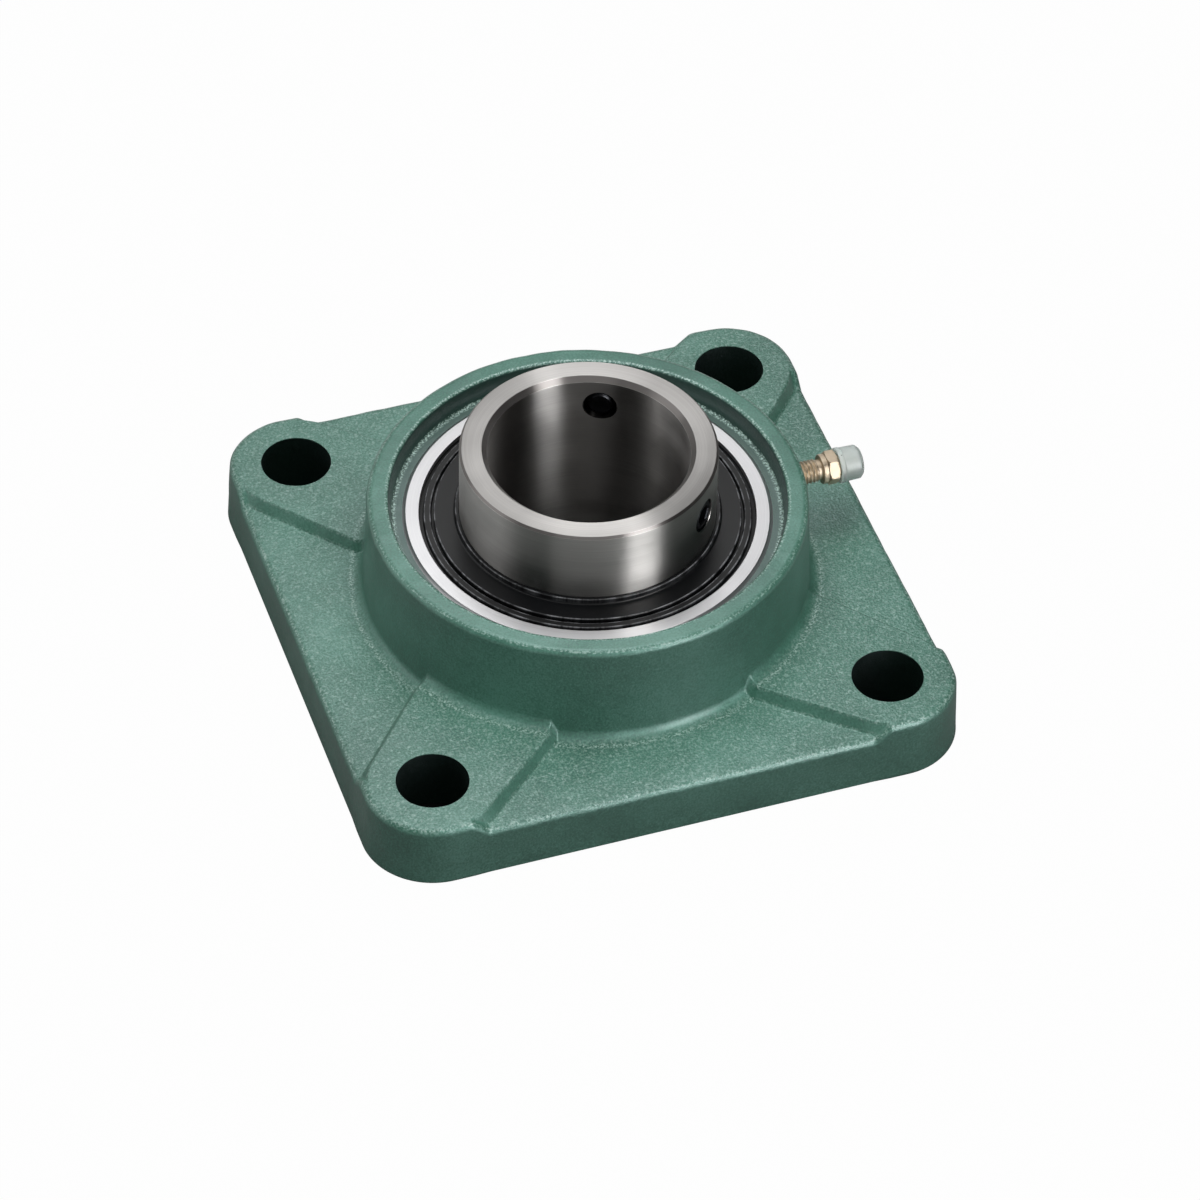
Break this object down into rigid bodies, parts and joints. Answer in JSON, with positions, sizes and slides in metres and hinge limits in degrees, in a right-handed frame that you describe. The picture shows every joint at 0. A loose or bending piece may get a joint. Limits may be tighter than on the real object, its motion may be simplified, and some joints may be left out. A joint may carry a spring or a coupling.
{
  "type": "flange bearing unit",
  "caption": "Square four-bolt flange bearing unit: cast housing with a spherical seat that carries a self-aligning sealed ball bearing insert with set screws.",
  "frame": {"origin": "on the mounting face, at the centre of the bolt pattern and on the shaft's axis", "axes": "+Z along the shaft, away from the mounting face; +X towards the grease nipple; +X and +Y along the flange's sides"},
  "size_m": [0.137, 0.137, 0.0522],
  "materials": {
    "painted_cast_iron": "green enamel over a sand-cast skin",
    "ground_steel": "ground and lightly polished",
    "bearing_steel": "lapped to a mirror",
    "seal_rubber": "moulded nitrile, matt",
    "slinger_coating": "black coated pressed steel, satin",
    "black_oxide_steel": "black oxide",
    "pressed_steel": "pressed sheet",
    "spring_steel": "drawn wire",
    "nipple_brass": "turned, thin nickel flash",
    "cap_plastic": "natural translucent polyethylene"
  },
  "bodies": {
    "housing": {"housing": "painted_cast_iron", "grease_nipple": "nipple_brass", "nipple_spring": "spring_steel"},
    "nipple_cap": {"nipple_cap": "cap_plastic"},
    "check_ball": {"nipple_check_ball": "bearing_steel"},
    "insert": {"outer_ring": "ground_steel", "front_seal": "seal_rubber", "rear_seal": "seal_rubber"},
    "shaft_ring": {"inner_ring": "ground_steel", "front_slinger": "slinger_coating", "rear_slinger": "slinger_coating"},
    "screw_a": {"set_screw_a": "black_oxide_steel"},
    "screw_b": {"set_screw_b": "black_oxide_steel"},
    "cage": {"cage_front": "pressed_steel", "cage_rear": "pressed_steel", "cage_rivets": "pressed_steel"},
    "ball_1": {"ball_1": "bearing_steel"},
    "ball_2": {"ball_2": "bearing_steel"},
    "ball_3": {"ball_3": "bearing_steel"},
    "ball_4": {"ball_4": "bearing_steel"},
    "ball_5": {"ball_5": "bearing_steel"},
    "ball_6": {"ball_6": "bearing_steel"},
    "ball_7": {"ball_7": "bearing_steel"},
    "ball_8": {"ball_8": "bearing_steel"},
    "ball_9": {"ball_9": "bearing_steel"}
  },
  "joints": [
    {"name": "insert_tilt", "type": "hinge", "parent": "housing", "child": "insert", "pos_m": [0, 0, 0.022], "axis": [1, 0, 0], "range_deg": [-2, 2]},
    {"name": "shaft_spin", "type": "hinge", "parent": "insert", "child": "shaft_ring", "pos_m": [0, 0, 0.022], "axis": [0, 0, 1], "continuous": true},
    {"name": "cage_spin", "type": "hinge", "parent": "insert", "child": "cage", "pos_m": [0, 0, 0.022], "axis": [0, 0, 1], "continuous": true},
    {"name": "screw_a_drive", "type": "slide", "parent": "shaft_ring", "child": "screw_a", "axis": [-0.4226, -0.9063, 0], "range_m": [-0.003, 0.0012]},
    {"name": "screw_b_drive", "type": "slide", "parent": "shaft_ring", "child": "screw_b", "axis": [-0.7071, 0.7071, 0], "range_m": [-0.003, 0.0012]},
    {"name": "cap_pull", "type": "slide", "parent": "housing", "child": "nipple_cap", "axis": [1, 0, 0], "range_m": [0, 0.006]},
    {"name": "check_ball_lift", "type": "slide", "parent": "housing", "child": "check_ball", "axis": [-1, 0, 0], "range_m": [0, 0.0008], "stiffness_N_per_m": 100, "springref_m": -0.001, "deforming": ["nipple_spring"]},
    {"name": "ball_1_roll", "type": "hinge", "parent": "cage", "child": "ball_1", "pos_m": [0.0325, 0, 0.022], "axis": [0, 0, 1], "continuous": true},
    {"name": "ball_2_roll", "type": "hinge", "parent": "cage", "child": "ball_2", "pos_m": [0.0249, 0.02089, 0.022], "axis": [0, 0, 1], "continuous": true},
    {"name": "ball_3_roll", "type": "hinge", "parent": "cage", "child": "ball_3", "pos_m": [0.00564, 0.03201, 0.022], "axis": [0, 0, 1], "continuous": true},
    {"name": "ball_4_roll", "type": "hinge", "parent": "cage", "child": "ball_4", "pos_m": [-0.01625, 0.02815, 0.022], "axis": [0, 0, 1], "continuous": true},
    {"name": "ball_5_roll", "type": "hinge", "parent": "cage", "child": "ball_5", "pos_m": [-0.03054, 0.01112, 0.022], "axis": [0, 0, 1], "continuous": true},
    {"name": "ball_6_roll", "type": "hinge", "parent": "cage", "child": "ball_6", "pos_m": [-0.03054, -0.01112, 0.022], "axis": [0, 0, 1], "continuous": true},
    {"name": "ball_7_roll", "type": "hinge", "parent": "cage", "child": "ball_7", "pos_m": [-0.01625, -0.02815, 0.022], "axis": [0, 0, 1], "continuous": true},
    {"name": "ball_8_roll", "type": "hinge", "parent": "cage", "child": "ball_8", "pos_m": [0.00564, -0.03201, 0.022], "axis": [0, 0, 1], "continuous": true},
    {"name": "ball_9_roll", "type": "hinge", "parent": "cage", "child": "ball_9", "pos_m": [0.0249, -0.02089, 0.022], "axis": [0, 0, 1], "continuous": true}
  ],
  "couplings": [
    {"joint": "cage_spin", "follows": "shaft_spin", "ratio": 0.40231},
    {"joint": "ball_1_roll", "follows": "shaft_spin", "ratio": -2.4614},
    {"joint": "ball_2_roll", "follows": "shaft_spin", "ratio": -2.4614},
    {"joint": "ball_3_roll", "follows": "shaft_spin", "ratio": -2.4614},
    {"joint": "ball_4_roll", "follows": "shaft_spin", "ratio": -2.4614},
    {"joint": "ball_5_roll", "follows": "shaft_spin", "ratio": -2.4614},
    {"joint": "ball_6_roll", "follows": "shaft_spin", "ratio": -2.4614},
    {"joint": "ball_7_roll", "follows": "shaft_spin", "ratio": -2.4614},
    {"joint": "ball_8_roll", "follows": "shaft_spin", "ratio": -2.4614},
    {"joint": "ball_9_roll", "follows": "shaft_spin", "ratio": -2.4614}
  ]
}
